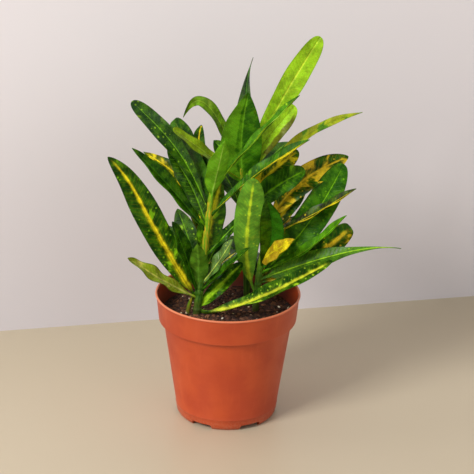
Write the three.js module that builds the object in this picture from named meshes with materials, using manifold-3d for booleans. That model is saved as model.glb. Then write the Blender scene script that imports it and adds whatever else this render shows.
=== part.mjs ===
// A young croton in its nursery pot: a thin plastic pot on six feet, the bark mix that fills it, and three
// rooted cuttings with long leathery leaves. Units are millimetres and +Z is up. The origin is on the pot's
// axis, in the plane of its feet, and the side that the plant shows to its owner looks along -Y.
import * as THREE from "three";
import { mergeVertices } from "three/addons/utils/BufferGeometryUtils.js";
import Module from "manifold-3d";

// Driving dimensions
const POT_HEIGHT = 94;
const RIM_RADIUS = 52.5;
const COLLAR_FOOT_RADIUS = 49.8; // the collar's outer radius at its lower edge
const COLLAR_HEIGHT = 20;
const WALL_TOP_RADIUS = 46.6; // the wall's outer radius, where the collar steps out from it
const WALL_FOOT_RADIUS = 36.9;
const FOOT_RADIUS = 34.4; // where the feet meet the ground
const WALL = 1.3;
const FLOOR_RISE = 1.8; // the floor's underside stands this far above the ground
const FLOOR_TOP = 2.9;
const FEET = 6;
const NOTCH_WIDTH = 16; // between two feet, where the pot drains
const NOTCH_HEIGHT = 3.7;
const SOIL_LEVEL = 78;
const SOIL_RELIEF = 1.3; // how far the lumps of bark rise and sink
const CLEARANCE = 0.3; // between pieces that rest in each other
const ROOTED = 20; // how deep a stem stands in the soil
const BLADE = 0.8; // a leaf's thickness
const STALK = 2.2; // the width of a leaf's stalk
const STALK_SHARE = 0.08; // how much of a leaf's length is stalk
const ROUND = 60; // the number of flats round the pot

// Each stem leaves the soil at foot and ends at top; bow bends it sideways between the two.
// A leaf grows at a height on its stem, and its rib runs to the tip. Seen along the rib, arch lifts the rib
// above the straight line, sway bends it sideways, peak says where it bends most, and hang bends the tip
// down. The blade is wide across, turn degrees round its rib (towards the right hand), with twist more at the
// tip, and its halves rise by fold degrees. It is widest at a share of its length, and a higher taper makes
// both ends slimmer. Its edges go up and down by ripple, waves times.
const LEAF = {
  arch: 3, sway: 0, peak: 0.5, hang: 0, wide: 18, turn: 0, twist: 0, fold: 14, widest: 0.55, taper: 1.5,
  ripple: 0.9, waves: 3,
};
const STEMS = {
  croton_stem_left: {
    foot: [-22.4, -4], top: [-12, -5, 180], bow: [0, 0], radius: 2.8, leaves: [
      {
        at: 88, tip: [-85.5, -12, 200.5], arch: 3.2, peak: 0.8, wide: 20.5, turn: -72, fold: 10,
        widest: 0.5, taper: 1.3,
      },
      {
        at: 90, tip: [-71, -26, 130], arch: -1.5, wide: 14, turn: -32, fold: 12, taper: 1.6,
        ripple: 1.4,
      },
      { at: 156, tip: [-69, -7, 240], arch: 7.2, wide: 14, turn: -62, widest: 0.68, taper: 1.3 },
      { at: 154, tip: [-41, 14, 211.5], arch: 4, wide: 23, turn: -70, widest: 0.6 },
      { at: 164, tip: [-41, 36, 212], arch: 4, wide: 18, turn: -55, widest: 0.65, taper: 1.1 },
      { at: 168, tip: [-4, -24, 218], arch: 0, wide: 17, fold: 8, widest: 0.45 },
      { at: 175, tip: [47, -26, 253], arch: 1, wide: 9, turn: 25, fold: 30 },
      { at: 153, tip: [55, -18, 218], arch: 3.5, wide: 12, turn: 25, fold: 30 },
      { at: 142, tip: [-68, -22, 211], arch: 1.5, wide: 15, turn: -45, fold: 20, widest: 0.45 },
      { at: 158, tip: [-62, 20, 193], sway: 2.5, wide: 15, turn: -45, widest: 0.4 },
      { at: 145, tip: [-44, -4, 205], wide: 15, turn: -60 },
      { at: 91, tip: [-40, -18, 155], arch: 1, wide: 14, turn: -70 },
      { at: 100, tip: [-37, 2, 157], arch: 2, wide: 17, turn: -70 },
      { at: 95, tip: [-22, -26, 142], arch: 4, wide: 14, widest: 0.4, taper: 1.8 },
      { at: 100, tip: [3, -15, 141], arch: -1, wide: 12, turn: 50 },
      { at: 96, tip: [6.5, 5, 124], wide: 14, turn: 60, taper: 1.2 },
      { at: 95, tip: [15, -34, 143], arch: 0, wide: 9, turn: 35, fold: 25 },
      { at: 82, tip: [10, -4, 118.5], arch: 0, wide: 12, turn: 60, taper: 1 },
      { at: 122, tip: [11, 6, 152], arch: 0, wide: 8, turn: 45, fold: 20 },
      { at: 119, tip: [-6, 8, 177], arch: 2, wide: 21, turn: 70, widest: 0.42 },
      { at: 175, tip: [-21, 26, 212], sway: -5, peak: 0.6, wide: 10, turn: -20 },
      {
        at: 82, tip: [73, -34, 134], arch: -8.5, peak: 0.3, wide: 14, twist: 75, fold: 30,
        widest: 0.48, taper: 0.95,
      },
      { at: 150, tip: [-46, 50, 172], arch: 6 },
      { at: 125, tip: [-30, 62, 165], arch: 7, wide: 16 },
      { at: 110, tip: [-56, 36, 130], arch: 8 },
      { at: 104, tip: [-36, 58, 118], arch: 8, wide: 16 },
      { at: 100, tip: [-2, 8, 140], arch: 2, wide: 16, turn: 60 },
    ],
  },
  croton_stem_middle: {
    foot: [14, 13], top: [7.5, 6, 190], bow: [1, 1], radius: 2.6, leaves: [
      { at: 170, tip: [12, -14, 251], sway: 2.9, wide: 30, turn: 180, fold: 8, widest: 0.4, taper: 1.6 },
      {
        at: 187, tip: [15, 26, 263], sway: -1.5, peak: 0.75, wide: 15.5, turn: 10, fold: 30,
        widest: 0.34, taper: 3,
      },
      {
        at: 186, tip: [62, 28, 278.5], arch: 0.9, peak: 0.62, wide: 17.6, turn: 75, fold: 10, widest: 0.68,
        taper: 1.35,
      },
      { at: 180, tip: [45, 7, 234], arch: 2, wide: 17, turn: 70, widest: 0.62, taper: 0.95 },
      { at: 176, tip: [91, -16, 238], arch: 5.8, peak: 0.66, wide: 9, turn: 45, widest: 0.45, taper: 1.6 },
      {
        at: 184, tip: [-33.5, 12, 222.5], arch: 4, hang: 36, wide: 9.5, turn: -40, widest: 0.48,
        taper: 1.3,
      },
      { at: 178, tip: [-40, -14, 223], arch: 0, wide: 9.5, turn: -50, taper: 0.8 },
      { at: 172, tip: [-12, 22, 202], wide: 15, turn: -40, taper: 1.8 },
      { at: 158, tip: [48.5, 24, 194.5], wide: 17, turn: 60, taper: 1.1 },
      { at: 150, tip: [53, -4, 190], wide: 19, turn: 60, taper: 0.9 },
      { at: 170, tip: [10, 76, 200], arch: 6, wide: 20 },
      { at: 160, tip: [42, 66, 186], arch: 6 },
      { at: 150, tip: [-18, 66, 176], arch: 6, wide: 20 },
      { at: 140, tip: [30, 84, 168], arch: 8 },
      { at: 125, tip: [14, 82, 146], arch: 9, wide: 16 },
      { at: 105, tip: [-14, 62, 108], arch: 9 },
    ],
  },
  croton_stem_right: {
    foot: [20, 3], top: [28, 0, 152], bow: [-1, 0], radius: 2.5, leaves: [
      { at: 146, tip: [84, 14, 194.5], arch: 8.5, wide: 19, turn: 55 },
      { at: 106, tip: [80.5, 2, 193], arch: -5.5, wide: 23.5, turn: 70, widest: 0.58, taper: 1 },
      { at: 137, tip: [89, -12, 180], arch: -2, wide: 10, turn: 20, fold: 25 },
      { at: 108, tip: [82.5, -18, 162], arch: -5, wide: 10, turn: 30, fold: 30 },
      { at: 100, tip: [87, 0, 146], arch: -5, wide: 17, turn: 60, widest: 0.7, taper: 0.8 },
      {
        at: 103, tip: [121.5, -24, 140], arch: 2.4, hang: 7, wide: 17, turn: 65, twist: -40,
        widest: 0.26, taper: 3,
      },
      { at: 92, tip: [17, -22, 190], sway: 7.3, peak: 0.33, wide: 21, fold: 8, widest: 0.6, taper: 1.2 },
      {
        at: 116, tip: [46, -26, 146.5], arch: 1.5, peak: 0.3, wide: 14, turn: 65, fold: 5,
        widest: 0.3, taper: 1.1,
      },
      { at: 106, tip: [26, -20, 174], sway: -7, wide: 20, turn: 170, fold: 30 },
      { at: 97, tip: [34, 14, 129], arch: 2, wide: 12, turn: 60 },
      { at: 135, tip: [54, 6, 171], arch: 2, wide: 12, turn: 60 },
      { at: 135, tip: [66, 58, 168], arch: 7 },
      { at: 120, tip: [68, 46, 138], arch: 7 },
      { at: 112, tip: [46, 70, 122], arch: 9 },
      { at: 100, tip: [62, 52, 112], arch: 8, wide: 16 },
      { at: 95, tip: [28, 60, 98], arch: 9, wide: 16 },
    ],
  },
};
// A short side shoot comes up beside the left stem and joins it just above the soil.
const SIDE_SHOOT = { foot: [-28.7, -2.1], top: [-22.5, -4, 96], bow: [-1.5, 0], radius: 1.8 };

const UP = new THREE.Vector3(0, 0, 1);
const wasm = await Module();
wasm.setup();

/** A closed solid from a geometry, kept as bare positions with its shared vertices merged. */
function solidFrom(geometry) {
  geometry.deleteAttribute("normal");
  geometry.deleteAttribute("uv");
  const merged = mergeVertices(geometry, 1e-4);
  const corners = merged.index.array;
  const triangles = [];
  for (let i = 0; i < corners.length; i += 3) {
    const [a, b, c] = corners.subarray(i, i + 3);
    if (a !== b && b !== c && c !== a) triangles.push(a, b, c);
  }
  return new wasm.Manifold(new wasm.Mesh({
    numProp: 3,
    vertProperties: merged.attributes.position.array,
    triVerts: new Uint32Array(triangles),
  }));
}

/** The named, coloured mesh of a finished solid. */
function meshFrom(name, solid, colour, roughness) {
  const { vertProperties, triVerts } = solid.getMesh();
  const geometry = new THREE.BufferGeometry();
  geometry.setAttribute("position", new THREE.BufferAttribute(new Float32Array(vertProperties), 3));
  geometry.setIndex(new THREE.BufferAttribute(new Uint32Array(triVerts), 1));
  geometry.computeVertexNormals();
  const material = new THREE.MeshStandardMaterial({ color: colour, roughness, metalness: 0 });
  const mesh = new THREE.Mesh(geometry, material);
  mesh.name = name;
  return mesh;
}

/** A solid of revolution about Z from [radius, height] points that start and end on the axis. */
function turned(outline, flats) {
  const points = outline.map(([radius, height]) => new THREE.Vector2(radius, height));
  return new THREE.LatheGeometry(points, flats).rotateX(Math.PI / 2);
}

// The inside of the pot, from the floor to the rim, as [radius, height].
const wallFootInside = WALL_FOOT_RADIUS - WALL;
const wallTopInside = WALL_TOP_RADIUS - WALL;
const collarFoot = POT_HEIGHT - COLLAR_HEIGHT;
const INSIDE = [
  [wallFootInside - 2.6, FLOOR_TOP],
  [wallFootInside - 0.4, FLOOR_TOP + 2.2],
  [wallFootInside + 0.3, FLOOR_TOP + 6],
  [wallTopInside, collarFoot + 0.2],
  [wallTopInside + 0.7, collarFoot + WALL],
  [COLLAR_FOOT_RADIUS - WALL, collarFoot + WALL + 0.2],
  [RIM_RADIUS - WALL - 0.6, POT_HEIGHT - 3],
];

/** Thin wall, stepped collar with a rolled lip, raised floor, and feet parted by drain notches. */
function pot() {
  const shell = solidFrom(turned([
    [0, FLOOR_RISE],
    [FOOT_RADIUS - 2.4, FLOOR_RISE],
    [FOOT_RADIUS - 2, 0],
    [FOOT_RADIUS, 0],
    [WALL_FOOT_RADIUS - 1, 1.4],
    [WALL_FOOT_RADIUS - 0.3, 4],
    [WALL_FOOT_RADIUS, 8],
    [WALL_TOP_RADIUS, collarFoot],
    [COLLAR_FOOT_RADIUS - 0.4, collarFoot],
    [COLLAR_FOOT_RADIUS, collarFoot + 0.5],
    [RIM_RADIUS - 0.8, POT_HEIGHT - 2.2],
    [RIM_RADIUS, POT_HEIGHT - 1.4],
    [RIM_RADIUS, POT_HEIGHT - 0.4],
    [RIM_RADIUS - 0.4, POT_HEIGHT],
    [RIM_RADIUS - 1.2, POT_HEIGHT],
    [RIM_RADIUS - 1.6, POT_HEIGHT - 0.5],
    ...INSIDE.toReversed(),
    [0, FLOOR_TOP],
  ], ROUND));
  const notches = [];
  for (let foot = 0; foot < FEET; foot += 1) {
    const notch = new THREE.BoxGeometry(NOTCH_WIDTH, 12, 2 * NOTCH_HEIGHT);
    notch.translate(0, FOOT_RADIUS + 2, 0);
    notch.rotateZ(((foot + 0.5) * 2 * Math.PI) / FEET + Math.PI);
    notches.push(solidFrom(notch));
  }
  return shell.subtract(wasm.Manifold.union(notches));
}

/** How far the bark's surface stands above or below the soil's level, fading out at the wall. */
function relief(x, y) {
  const lumps = Math.sin(0.33 * x + 1.4 * Math.sin(0.21 * y)) * Math.cos(0.29 * y - 0.9 * Math.sin(0.17 * x));
  const bits = 0.5 * Math.sin(0.83 * x - 0.4 * y) * Math.sin(0.71 * y + 0.3 * x);
  const fade = 1 - (Math.hypot(x, y) / COLLAR_FOOT_RADIUS) ** 6;
  return SOIL_RELIEF * fade * (lumps + bits);
}

/** The middle of a stem at a height. It stands straight down in the soil. */
function stemPoint({ foot, top, bow }, height) {
  const t = THREE.MathUtils.clamp((height - SOIL_LEVEL) / (top[2] - SOIL_LEVEL), 0, 1);
  const bend = Math.sin(Math.PI * t);
  return new THREE.Vector3(
    foot[0] + (top[0] - foot[0]) * t + bow[0] * bend,
    foot[1] + (top[1] - foot[1]) * t + bow[1] * bend,
    height,
  );
}

/** A round stalk that follows a stem's line and grows slimmer to its top. */
function stalk(stem) {
  const low = SOIL_LEVEL - ROOTED;
  const length = stem.top[2] - low;
  const tube = new THREE.CylinderGeometry(1, 1, 1, 8, 14).rotateX(Math.PI / 2);
  const place = tube.attributes.position;
  for (let i = 0; i < place.count; i += 1) {
    const share = place.getZ(i) + 0.5;
    const centre = stemPoint(stem, low + share * length);
    const radius = stem.radius * (1 - 0.45 * share ** 2);
    place.setXYZ(i, centre.x + place.getX(i) * radius, centre.y + place.getY(i) * radius, centre.z);
  }
  return solidFrom(tube);
}

/** The plain hole in the soil that a stem stands in. */
function hole(stem) {
  const radius = stem.radius + CLEARANCE;
  const length = ROOTED + 2 * CLEARANCE + 10;
  const bore = new THREE.CylinderGeometry(radius, radius, length, 12).rotateX(Math.PI / 2);
  bore.translate(stem.foot[0], stem.foot[1], SOIL_LEVEL - ROOTED - CLEARANCE + length / 2);
  return solidFrom(bore);
}

/** The bark mix: it fills the pot to its level, with a lumpy top and a hole for each stem. */
function soil(stems) {
  const top = COLLAR_FOOT_RADIUS - WALL + 0.2 - CLEARANCE;
  const rings = Array.from({ length: 7 }, (_, ring) => [top * (1 - (ring + 1) / 8), SOIL_LEVEL]);
  const wall = INSIDE.slice(0, 6).map(([radius, height]) => [radius - CLEARANCE, height + CLEARANCE]);
  const outline = [[0, FLOOR_TOP + CLEARANCE], ...wall, [top, SOIL_LEVEL], ...rings, [0, SOIL_LEVEL]];
  const body = turned(outline, 40);
  const place = body.attributes.position;
  for (let i = 0; i < place.count; i += 1) {
    if (Math.abs(place.getZ(i) - SOIL_LEVEL) < 1e-3) {
      place.setZ(i, SOIL_LEVEL + relief(place.getX(i), place.getY(i)));
    }
  }
  return solidFrom(body).subtract(wasm.Manifold.union(stems.map(hole)));
}

/** One leaf: a thin folded blade with waved edges on an arching rib, its root in the middle of the stem. */
function leaf(stem, form) {
  const { at, tip, arch, sway, peak, hang, wide, turn, twist, fold, widest, taper, ripple, waves } = {
    ...LEAF,
    ...form,
  };
  const base = stemPoint(stem, at);
  const chord = new THREE.Vector3(...tip).sub(base).addScaledVector(UP, hang);
  const along = chord.clone().normalize();
  const up = UP.clone().addScaledVector(along, -along.z).normalize();
  const right = along.clone().cross(up);
  const angle = THREE.MathUtils.degToRad(turn);
  const face = up.clone().multiplyScalar(Math.cos(angle)).addScaledVector(right, Math.sin(angle));
  const rib = (s) => {
    const bend = Math.sin(Math.PI * s ** (Math.log(0.5) / Math.log(peak)));
    return base.clone()
      .addScaledVector(chord, s)
      .addScaledVector(up, arch * bend)
      .addScaledVector(right, sway * bend)
      .addScaledVector(UP, -hang * s ** 6);
  };
  const stations = [0, 0.08, 0.2, 0.34, 0.48, 0.62, 0.76, 0.88, 0.96, 1];
  const rows = stations.map((s) => {
    const middle = rib(s);
    const ahead = rib(Math.min(1, s + 0.01)).sub(rib(Math.max(0, s - 0.01))).normalize();
    const normal = face.clone().addScaledVector(ahead, -face.dot(ahead)).normalize();
    normal.applyAxisAngle(ahead, THREE.MathUtils.degToRad(twist * s));
    const across = ahead.clone().cross(normal);
    const u = Math.max(0, (s - STALK_SHARE) / (1 - STALK_SHARE));
    const blade = ((u / widest) ** widest * ((1 - u) / (1 - widest)) ** (1 - widest)) ** taper;
    const half = Math.max(blade * wide, STALK * (1 - 0.75 * s)) / 2;
    const rise = THREE.MathUtils.degToRad(fold);
    const thick = BLADE * (1 + (1 - s) ** 6);
    return [-1, 0, 1].flatMap((side) => {
      const wave = ripple * blade * Math.sin(2 * Math.PI * waves * s + 2 * side) * Math.abs(side);
      const point = middle.clone()
        .addScaledVector(across, side * half * Math.cos(rise))
        .addScaledVector(normal, Math.abs(side) * half * Math.sin(rise) + wave);
      const above = point.clone().addScaledVector(normal, thick / 2);
      return [above, point.addScaledVector(normal, -thick / 2)];
    });
  });
  // Each row holds left, rib and right, each as a point above and one below. A round bounds the section.
  const round = [0, 2, 4, 5, 3, 1];
  const triangles = [];
  const quad = (a, b, c, d) => triangles.push(a, b, c, a, c, d);
  for (let row = 0; row + 1 < rows.length; row += 1) {
    const near = 6 * row;
    const far = near + 6;
    quad(near, near + 2, far + 2, far);
    quad(near + 2, near + 4, far + 4, far + 2);
    quad(near + 4, near + 5, far + 5, far + 4);
    triangles.push(near + 1, far + 3, near + 3, near + 1, far + 1, far + 3);
    triangles.push(near + 3, far + 5, near + 5, near + 3, far + 3, far + 5);
    quad(near + 1, near, far, far + 1);
  }
  const last = 6 * (rows.length - 1);
  for (const start of [0, last]) {
    for (let i = 1; i + 1 < round.length; i += 1) {
      const fan = [round[0], round[i], round[i + 1]].map((corner) => start + corner);
      triangles.push(...(start === 0 ? fan.toReversed() : fan));
    }
  }
  const geometry = new THREE.BufferGeometry().setFromPoints(rows.flat());
  geometry.setIndex(triangles);
  return solidFrom(geometry);
}

const plant = new THREE.Group();
plant.add(meshFrom("pot", pot(), 0xb9552f, 0.6));
plant.add(meshFrom("soil", soil([...Object.values(STEMS), SIDE_SHOOT]), 0x3a241a, 0.95));
for (const [name, stem] of Object.entries(STEMS)) {
  const pieces = [stalk(stem), ...stem.leaves.map((form) => leaf(stem, form))];
  if (name === "croton_stem_left") pieces.push(stalk(SIDE_SHOOT));
  plant.add(meshFrom(name, wasm.Manifold.union(pieces), 0x3f7d1e, 0.45));
}

export default plant;
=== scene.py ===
import math
import random

import bmesh
import bpy
from mathutils import Matrix, Vector, noise


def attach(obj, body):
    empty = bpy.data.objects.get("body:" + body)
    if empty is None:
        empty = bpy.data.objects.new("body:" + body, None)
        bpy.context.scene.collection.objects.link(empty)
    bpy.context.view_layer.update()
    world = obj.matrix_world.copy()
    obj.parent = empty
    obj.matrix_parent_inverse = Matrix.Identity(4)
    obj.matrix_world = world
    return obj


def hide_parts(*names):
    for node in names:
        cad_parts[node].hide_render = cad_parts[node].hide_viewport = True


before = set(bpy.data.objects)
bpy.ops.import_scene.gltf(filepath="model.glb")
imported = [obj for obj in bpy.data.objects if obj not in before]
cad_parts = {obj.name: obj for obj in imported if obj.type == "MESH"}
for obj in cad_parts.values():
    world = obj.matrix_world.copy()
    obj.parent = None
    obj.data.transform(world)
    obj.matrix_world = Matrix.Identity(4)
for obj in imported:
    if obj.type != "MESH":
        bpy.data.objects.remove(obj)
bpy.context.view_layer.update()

# ---------------------------------------------------------------- Camera
# A long lens looks down on the pot by 22 degrees from in front, and leans by one degree to its side. It aims
# a little to the right of the pot's axis, at about half the plant's height.
AIM = Vector((0.0058, 0, 0.1369))
DISTANCE = 1.6
LOOKING_DOWN = math.radians(22.2)
LEAN = math.radians(1.0)

lens = bpy.data.cameras.new("studio_camera")
lens.sensor_width = 36
lens.lens = 170.05
camera = bpy.data.objects.new("studio_camera", lens)
bpy.context.scene.collection.objects.link(camera)
back = Vector((0, -math.cos(LOOKING_DOWN), math.sin(LOOKING_DOWN)))
across = Vector((1, 0, 0))
above = Vector((0, math.sin(LOOKING_DOWN), math.cos(LOOKING_DOWN)))
camera_right = across * math.cos(LEAN) + above * math.sin(LEAN)
camera_up = above * math.cos(LEAN) - across * math.sin(LEAN)
turn = Matrix((camera_right, camera_up, back)).transposed().to_4x4()
camera.matrix_world = Matrix.Translation(AIM + back * DISTANCE) @ turn
bpy.context.scene.camera = camera

# ---------------------------------------------------------------- Table, wall and light
# A smooth beige table top stands before a pale wall that runs a little askew behind it. One large soft lamp
# hangs at the left and in front, and the room fills the shadows.
WALL_AT = Vector((-0.180, 0.130, 0))  # two points of the line where the wall meets the table's far edge
WALL_AT_RIGHT = Vector((0.2026, 0.2154, 0))
ROOM_WIDTH = 8
TABLE_DEPTH = 3
WALL_HEIGHT = 2.5


def srgb(red, green, blue):
    """A colour of a paint chart (0 to 255) as the linear colour that a shader takes."""
    return tuple(((c / 255 + 0.055) / 1.055) ** 2.4 if c > 10 else c / 255 / 12.92
                 for c in (red, green, blue)) + (1,)


def node(tree, kind, inputs=None, **settings):
    """A shader node with its settings and with each socket set or fed."""
    made = tree.nodes.new("ShaderNode" + kind)
    for name, value in settings.items():
        setattr(made, name, value)
    for socket, value in (inputs or {}).items():
        if isinstance(value, bpy.types.NodeSocket):
            tree.links.new(value, made.inputs[socket])
        else:
            made.inputs[socket].default_value = value
    return made


def maths(tree, operation, *values):
    """The result of a Math node."""
    return node(tree, "Math", dict(enumerate(values)), operation=operation).outputs[0]


def fade(tree, value, low, high, at_low=0.0, at_high=1.0):
    """A smooth step of a value from one level to another."""
    made = node(tree, "MapRange", {0: value, 1: low, 2: high, 3: at_low, 4: at_high},
                interpolation_type="SMOOTHSTEP")
    return made.outputs[0]


def blend(tree, share, first, second):
    """Two colours mixed by a share."""
    return node(tree, "Mix", {0: share, 6: first, 7: second}, data_type="RGBA").outputs[2]


def new_material(name, **constants):
    """A material with a Principled shader whose named sockets are set."""
    material = bpy.data.materials.new(name)
    material.use_nodes = True
    shader = material.node_tree.nodes["Principled BSDF"]
    for socket, value in constants.items():
        shader.inputs[socket.replace("_", " ")].default_value = value
    return material, material.node_tree, shader


def finish_piece(name, bm, *materials):
    """The object of a finished bmesh, shaded smooth where its faces meet at less than 40 degrees."""
    mesh = bpy.data.meshes.new(name)
    bm.to_mesh(mesh)
    bm.free()
    for material in materials:
        mesh.materials.append(material)
    mesh.shade_smooth()
    mesh.set_sharp_from_angle(angle=math.radians(40))
    piece = bpy.data.objects.new(name, mesh)
    bpy.context.scene.collection.objects.link(piece)
    return piece


along_wall = (WALL_AT_RIGHT - WALL_AT).normalized()
table_material, tree, shader = new_material("beige_table", Roughness=0.4)
place = node(tree, "TexCoord").outputs["Object"]
cloud = node(tree, "TexNoise", {"Vector": place, "Scale": 5.0, "Detail": 3.0}).outputs["Fac"]
tree.links.new(blend(tree, cloud, srgb(201, 188, 163), srgb(194, 180, 154)), shader.inputs["Base Color"])
bm = bmesh.new()
bmesh.ops.create_grid(bm, x_segments=1, y_segments=1, size=0.5)
for corner in bm.verts:
    nearer = 0 if corner.co.y > 0 else TABLE_DEPTH
    corner.co = WALL_AT + along_wall * corner.co.x * ROOM_WIDTH - Vector((0, nearer, 0))
table = finish_piece("table_top", bm, table_material)

wall_material, tree, shader = new_material("pale_wall", Roughness=0.9)
place = node(tree, "TexCoord").outputs["Object"]
cloud = node(tree, "TexNoise", {"Vector": place, "Scale": 3.0, "Detail": 2.0}).outputs["Fac"]
x, _, height = node(tree, "SeparateXYZ", {0: place}).outputs
# The wall is painted lighter towards its top and towards its right, as painted light.
lit = maths(tree, "MAXIMUM", fade(tree, height, 0.0, 0.3), fade(tree, x, -0.15, 0.3, 0.0, 0.7))
wall_with_painted_light = blend(tree, lit, srgb(216, 212, 216), srgb(238, 233, 237))
tree.links.new(blend(tree, maths(tree, "MULTIPLY", cloud, 0.25), wall_with_painted_light, srgb(206, 200, 205)),
               shader.inputs["Base Color"])
bm = bmesh.new()
bmesh.ops.create_grid(bm, x_segments=1, y_segments=1, size=0.5)
for corner in bm.verts:
    raised = WALL_HEIGHT if corner.co.y > 0 else 0
    corner.co = WALL_AT + along_wall * corner.co.x * ROOM_WIDTH + Vector((0, 0, raised))
wall = finish_piece("wall", bm, wall_material)


def soft_lamp(name, place, aim, size, power, colour):
    """A square lamp that faces a point."""
    lamp = bpy.data.lights.new(name, "AREA")
    lamp.size = size
    lamp.energy = power
    lamp.color = colour
    holder = bpy.data.objects.new(name, lamp)
    bpy.context.scene.collection.objects.link(holder)
    facing = (Vector(aim) - Vector(place)).to_track_quat("-Z", "Y")
    holder.matrix_world = Matrix.Translation(place) @ facing.to_matrix().to_4x4()


soft_lamp("key_lamp", (-1.25, -1.3, 1.45), (0, 0, 0.12), 0.72, 39.5, (1, 0.985, 0.965))
soft_lamp("fill_lamp", (0.9, -1.3, 0.8), (0, 0, 0.12), 0.9, 2.6, (1, 0.99, 0.98))
room = bpy.data.worlds.new("room_light")
room.use_nodes = True
room.node_tree.nodes["Background"].inputs["Color"].default_value = (1, 0.992, 0.985, 1)
room.node_tree.nodes["Background"].inputs["Strength"].default_value = 0.47
bpy.context.scene.world = room
bpy.context.scene.view_settings.view_transform = "Standard"

# ---------------------------------------------------------------- Nursery pot
# One thin sheet of terracotta-coloured plastic, formed over a mould: a rolled lip, a collar that steps in
# to a tapered wall, a faint seam ring near the base, and six feet with drain notches punched between them.
MM = 0.001  # the object's own sizes are in millimetres
POT_HEIGHT = 94
RIM_RADIUS = 52.5
COLLAR_FOOT_RADIUS = 49.8
COLLAR_HEIGHT = 20
WALL_TOP_RADIUS = 46.6
WALL_FOOT_RADIUS = 36.9
FOOT_RADIUS = 34.4
WALL = 1.3
FLOOR_RISE = 1.8
FLOOR_TOP = 2.9
FEET = 6
NOTCH_WIDTH = 16
NOTCH_LENGTH = 12
NOTCH_HEIGHT = 3.7
NOTCH_CORNER = 1.6
CUT_ROUNDING = 0.18
SEAM_HEIGHT = 8.6
LIP_BEAD = 0.8
LIP_FROM = -65  # the bead is rolled from below its outer side, over its top, to its inner side
LIP_TURN = 245
LIP_STEPS = 9
POT_SIDES = 144

collar_foot = POT_HEIGHT - COLLAR_HEIGHT
inside = [
    (WALL_FOOT_RADIUS - WALL - 2.6, FLOOR_TOP),
    (WALL_FOOT_RADIUS - WALL - 0.4, FLOOR_TOP + 2.2),
    (WALL_FOOT_RADIUS - WALL + 0.3, FLOOR_TOP + 6),
    (WALL_TOP_RADIUS - WALL, collar_foot + 0.2),
    (WALL_TOP_RADIUS - WALL + 0.7, collar_foot + WALL),
    (COLLAR_FOOT_RADIUS - WALL, collar_foot + WALL + 0.2),
    (RIM_RADIUS - WALL - 0.6, POT_HEIGHT - 3),
]
lip = [
    (RIM_RADIUS - 0.85, POT_HEIGHT - 2.1),
    (RIM_RADIUS - 0.72, POT_HEIGHT - 1.75),
]
for step in range(LIP_STEPS + 1):
    angle = math.radians(LIP_FROM + LIP_TURN * step / LIP_STEPS)
    lip.append((RIM_RADIUS + LIP_BEAD * (math.cos(angle) - 1),
                POT_HEIGHT + LIP_BEAD * (math.sin(angle) - 1)))
outside = [
    (0, FLOOR_RISE),
    (FOOT_RADIUS - 2.4, FLOOR_RISE),
    (FOOT_RADIUS - 2, 0.1),
    (FOOT_RADIUS - 1.6, 0),
    (FOOT_RADIUS - 0.3, 0),
    (FOOT_RADIUS + 0.3, 0.3),
    (WALL_FOOT_RADIUS - 1.2, 1.5),
    (WALL_FOOT_RADIUS - 0.5, 3),
    (WALL_FOOT_RADIUS - 0.1, 5),
    (WALL_FOOT_RADIUS + 0.1, SEAM_HEIGHT - 0.5),
    (WALL_FOOT_RADIUS + 0.42, SEAM_HEIGHT),
    (WALL_FOOT_RADIUS + 0.2, SEAM_HEIGHT + 0.5),
    (WALL_TOP_RADIUS - 0.15, collar_foot - 1.2),
    (WALL_TOP_RADIUS, collar_foot - 0.4),
    (WALL_TOP_RADIUS + 0.4, collar_foot),
    (COLLAR_FOOT_RADIUS - 0.45, collar_foot),
    (COLLAR_FOOT_RADIUS - 0.1, collar_foot + 0.15),
    (COLLAR_FOOT_RADIUS + 0.03, collar_foot + 0.5),
    (COLLAR_FOOT_RADIUS + 0.1, collar_foot + 1.2),
]

bm = bmesh.new()
outline = [bm.verts.new((radius * MM, 0, height * MM))
           for radius, height in outside + lip + list(reversed(inside)) + [(0, FLOOR_TOP)]]
edges = [bm.edges.new(pair) for pair in zip(outline, outline[1:])]
bmesh.ops.spin(bm, geom=outline + edges, cent=(0, 0, 0), axis=(0, 0, 1), angle=2 * math.pi,
               steps=POT_SIDES, use_merge=True)
bmesh.ops.remove_doubles(bm, verts=bm.verts, dist=1e-6)
bmesh.ops.recalc_face_normals(bm, faces=bm.faces)
pot = finish_piece("nursery_pot", bm)

bm = bmesh.new()
for foot in range(FEET):
    turned = Matrix.Rotation((foot + 0.5) * 2 * math.pi / FEET + math.pi, 4, "Z")
    at = turned @ Matrix.Translation((0, (FOOT_RADIUS + 2) * MM, 0))
    size = Matrix.Diagonal((NOTCH_WIDTH * MM, NOTCH_LENGTH * MM, 2 * NOTCH_HEIGHT * MM, 1))
    punch = bmesh.ops.create_cube(bm, size=1, matrix=at @ size)["verts"]
    roof = [e for e in bm.edges if all(v in punch and v.co.z > 0 for v in e.verts)]
    radial = at.to_3x3() @ Vector((0, 1, 0))
    sides = [e for e in roof if abs((e.verts[0].co - e.verts[1].co).normalized().dot(radial)) > 0.9]
    bmesh.ops.bevel(bm, geom=sides, offset=NOTCH_CORNER * MM, segments=4, profile=0.5, affect="EDGES",
                    material=-1)
punches = finish_piece("notch_punches", bm)
cut = pot.modifiers.new("punched_notches", "BOOLEAN")
cut.object = punches
cut.operation = "DIFFERENCE"
cut.solver = "EXACT"
rounded = pot.modifiers.new("rounded_cuts", "BEVEL")
rounded.width = CUT_ROUNDING * MM
rounded.segments = 2
rounded.limit_method = "ANGLE"
rounded.angle_limit = math.radians(50)
bpy.context.view_layer.update()
moulded = bpy.data.meshes.new_from_object(pot.evaluated_get(bpy.context.evaluated_depsgraph_get()))
pot.modifiers.clear()
pot.data = moulded
bpy.data.objects.remove(punches)
moulded.shade_smooth()
moulded.set_sharp_from_angle(angle=math.radians(38))

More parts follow.
